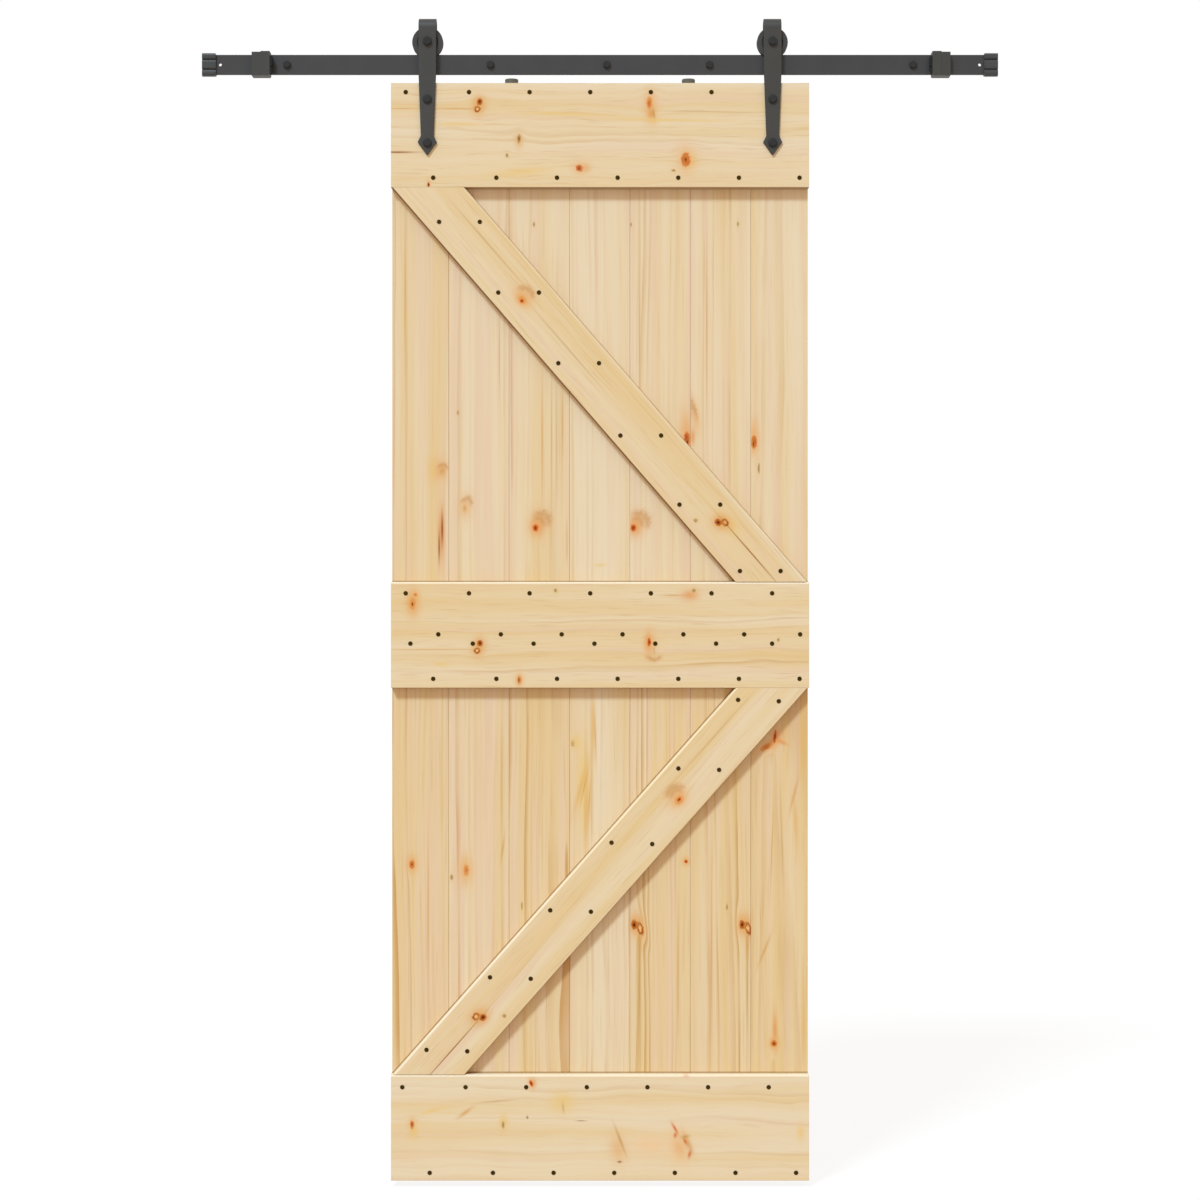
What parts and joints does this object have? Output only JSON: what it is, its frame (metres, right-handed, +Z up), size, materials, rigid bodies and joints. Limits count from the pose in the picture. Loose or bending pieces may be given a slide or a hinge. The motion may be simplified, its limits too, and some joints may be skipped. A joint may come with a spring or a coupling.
{
  "type": "sliding door",
  "caption": "Ledged and braced knotty pine barn door that slides on grooved wheels along a flat steel wall rail, with hooked hanger straps, end stops and ribbed rail caps.",
  "frame": {"origin": "on the wall face of the middle spacer, at mid-height of the rail", "axes": "+X along the rail, to the right seen from the room, +Y into the wall, +Z up"},
  "size_m": [1.525, 0.0655, 2.225],
  "materials": {
    "plank_pine": "bare sanded",
    "ledge_pine": "bare sanded",
    "brace_pine": "bare sanded",
    "rail_steel": "matt powder coat",
    "stop_steel": "matt powder coat",
    "strap_steel": "matt powder coat",
    "wheel_steel": "matt powder coat",
    "bolt_steel": "black oxide",
    "bumper_rubber": "matt",
    "cap_plastic": "matt moulded",
    "disc_plastic": "matt moulded"
  },
  "bodies": {
    "track": {"track_rail": "rail_steel", "wall_spacer_1": "rail_steel", "wall_spacer_2": "rail_steel", "wall_spacer_3": "rail_steel", "wall_spacer_4": "rail_steel", "wall_spacer_5": "rail_steel", "rail_bolt_1": "bolt_steel", "rail_bolt_2": "bolt_steel", "rail_bolt_3": "bolt_steel", "rail_bolt_4": "bolt_steel", "rail_bolt_5": "bolt_steel", "left_stop_block": "stop_steel", "left_stop_bumper": "bumper_rubber", "left_end_cap": "cap_plastic", "right_stop_block": "stop_steel", "right_stop_bumper": "bumper_rubber", "right_end_cap": "cap_plastic"},
    "door": {"plank_1": "plank_pine", "plank_2": "plank_pine", "plank_3": "plank_pine", "plank_4": "plank_pine", "plank_5": "plank_pine", "plank_6": "plank_pine", "plank_7": "plank_pine", "top_ledge": "ledge_pine", "middle_ledge": "ledge_pine", "bottom_ledge": "ledge_pine", "upper_brace": "brace_pine", "lower_brace": "brace_pine", "left_hanger_strap": "strap_steel", "left_strap_bolts": "bolt_steel", "left_strap_nuts": "bolt_steel", "left_axle_bolt": "bolt_steel", "left_axle_nut": "bolt_steel", "left_jump_disc": "disc_plastic", "right_hanger_strap": "strap_steel", "right_strap_bolts": "bolt_steel", "right_strap_nuts": "bolt_steel", "right_axle_bolt": "bolt_steel", "right_axle_nut": "bolt_steel", "right_jump_disc": "disc_plastic"},
    "left_roller": {"left_wheel": "wheel_steel"},
    "right_roller": {"right_wheel": "wheel_steel"}
  },
  "joints": [
    {"name": "door_slide", "type": "slide", "parent": "track", "child": "door", "axis": [1, 0, 0], "range_m": [-0.274, 0.278]},
    {"name": "left_wheel_spin", "type": "hinge", "parent": "door", "child": "left_roller", "pos_m": [-0.3432, -0.041, 0.042], "axis": [0, 1, 0], "continuous": true},
    {"name": "right_wheel_spin", "type": "hinge", "parent": "door", "child": "right_roller", "pos_m": [0.3172, -0.041, 0.042], "axis": [0, 1, 0], "continuous": true}
  ],
  "couplings": [
    {"joint": "left_wheel_spin", "follows": "door_slide", "rad_per_m": 44.053},
    {"joint": "right_wheel_spin", "follows": "door_slide", "rad_per_m": 44.053}
  ]
}
